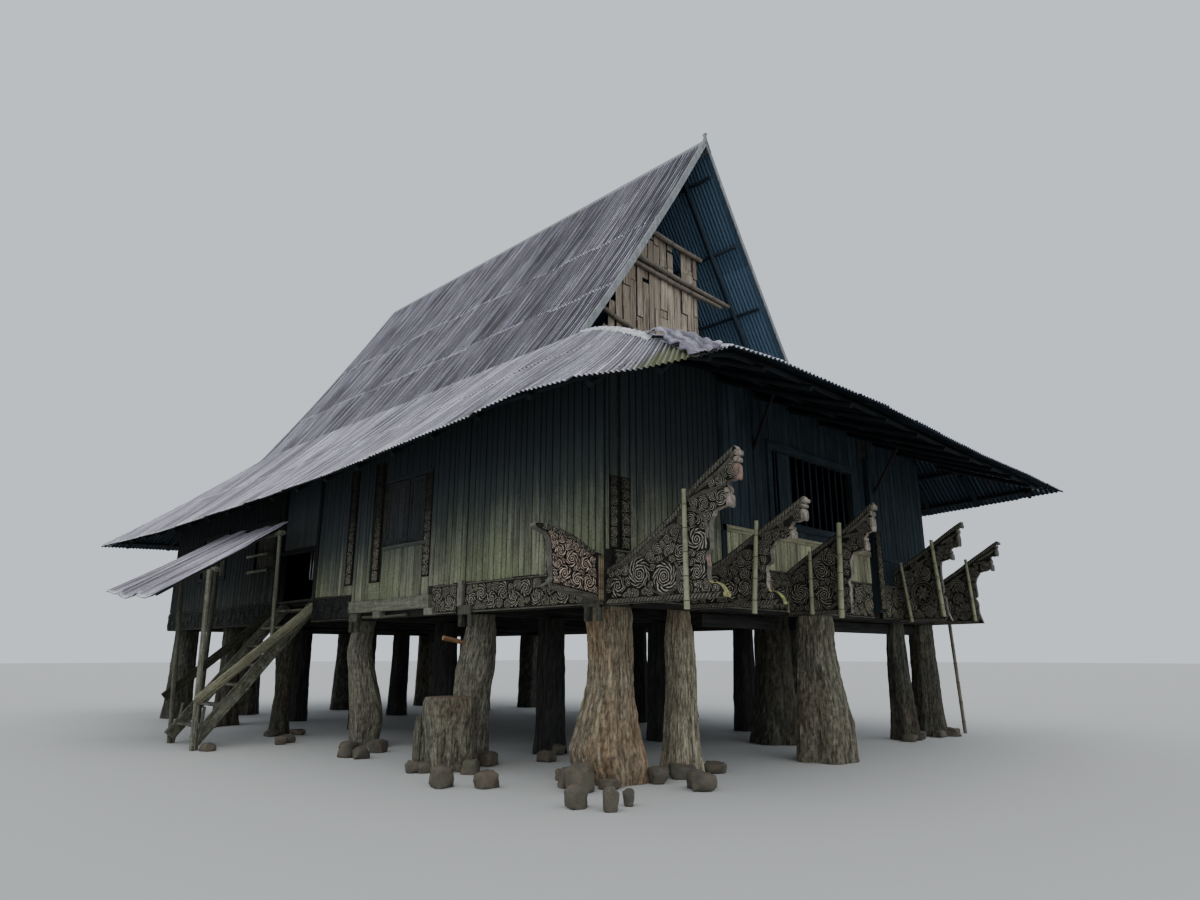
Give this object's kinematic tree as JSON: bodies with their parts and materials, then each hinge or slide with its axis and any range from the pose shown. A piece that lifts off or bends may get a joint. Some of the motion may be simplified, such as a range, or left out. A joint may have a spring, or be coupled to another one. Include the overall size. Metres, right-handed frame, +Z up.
{
  "type": "raised timber house",
  "caption": "Raised timber hall on thick tree-trunk posts with carved wing-shaped beam ends, board walls, side stairs under a lean-to and a steep sheet-iron roof.",
  "frame": {"origin": "on the ground under the middle of the whole outline, stair canopy included", "axes": "+Z up, the carved front end faces -Y, the long wall with the stairs faces -X"},
  "size_m": [12.18, 18.3, 10.65],
  "materials": {
    "sheet_iron": "weathered corrugated sheet",
    "bamboo": "weathered bamboo",
    "post_timber": "bare grooved trunk",
    "dark_timber": "dark sawn timber",
    "board_timber": "weathered boards"
  },
  "bodies": {
    "root": {"bamboo_ground_prop": "bamboo", "bamboo_wing_1": "bamboo", "bamboo_wing_2": "bamboo", "bamboo_wing_3": "bamboo", "bamboo_wing_3_thin": "bamboo", "bamboo_wing_4": "bamboo", "bamboo_wing_4_lean": "bamboo", "bamboo_wing_5": "bamboo", "canopy_frame": "board_timber", "canopy_roof": "sheet_iron", "cut_trunk": "post_timber", "floor": "board_timber", "front_beam": "board_timber", "front_wall": "board_timber", "gable_wall_front": "bamboo", "gable_wall_rear": "bamboo", "girder_row_1": "dark_timber", "girder_row_2": "dark_timber", "girder_row_3": "dark_timber", "girder_row_4": "dark_timber", "left_beam_front": "board_timber", "left_beam_rear": "board_timber", "left_wall_front": "board_timber", "left_wall_over_door": "board_timber", "left_wall_rear": "board_timber", "post_corner_front_left": "post_timber", "post_corner_rear_left": "post_timber", "post_corner_rear_right": "post_timber", "post_front_2": "post_timber", "post_front_3": "post_timber", "post_front_4": "post_timber", "post_front_5": "post_timber", "post_inner_front": "post_timber", "post_left_2": "post_timber", "post_left_3": "post_timber", "post_left_4": "post_timber", "post_left_5": "post_timber", "rear_beam_and_posts": "dark_timber", "rear_wall": "board_timber", "ridge_pole": "dark_timber", "right_beam_and_posts": "dark_timber", "right_wall": "board_timber", "shutter_leaf_front": "board_timber", "shutter_leaf_rear": "board_timber", "skirt_front": "sheet_iron", "skirt_left": "sheet_iron", "skirt_rear": "sheet_iron", "skirt_right": "sheet_iron", "stairs": "board_timber", "upper_slope_left": "sheet_iron", "upper_slope_right": "sheet_iron", "wing_front_1": "board_timber", "wing_front_2": "board_timber", "wing_front_3": "board_timber", "wing_front_4": "board_timber", "wing_front_5": "board_timber", "wing_side_left": "board_timber", "wing_side_right": "board_timber"}
  },
  "joints": []
}
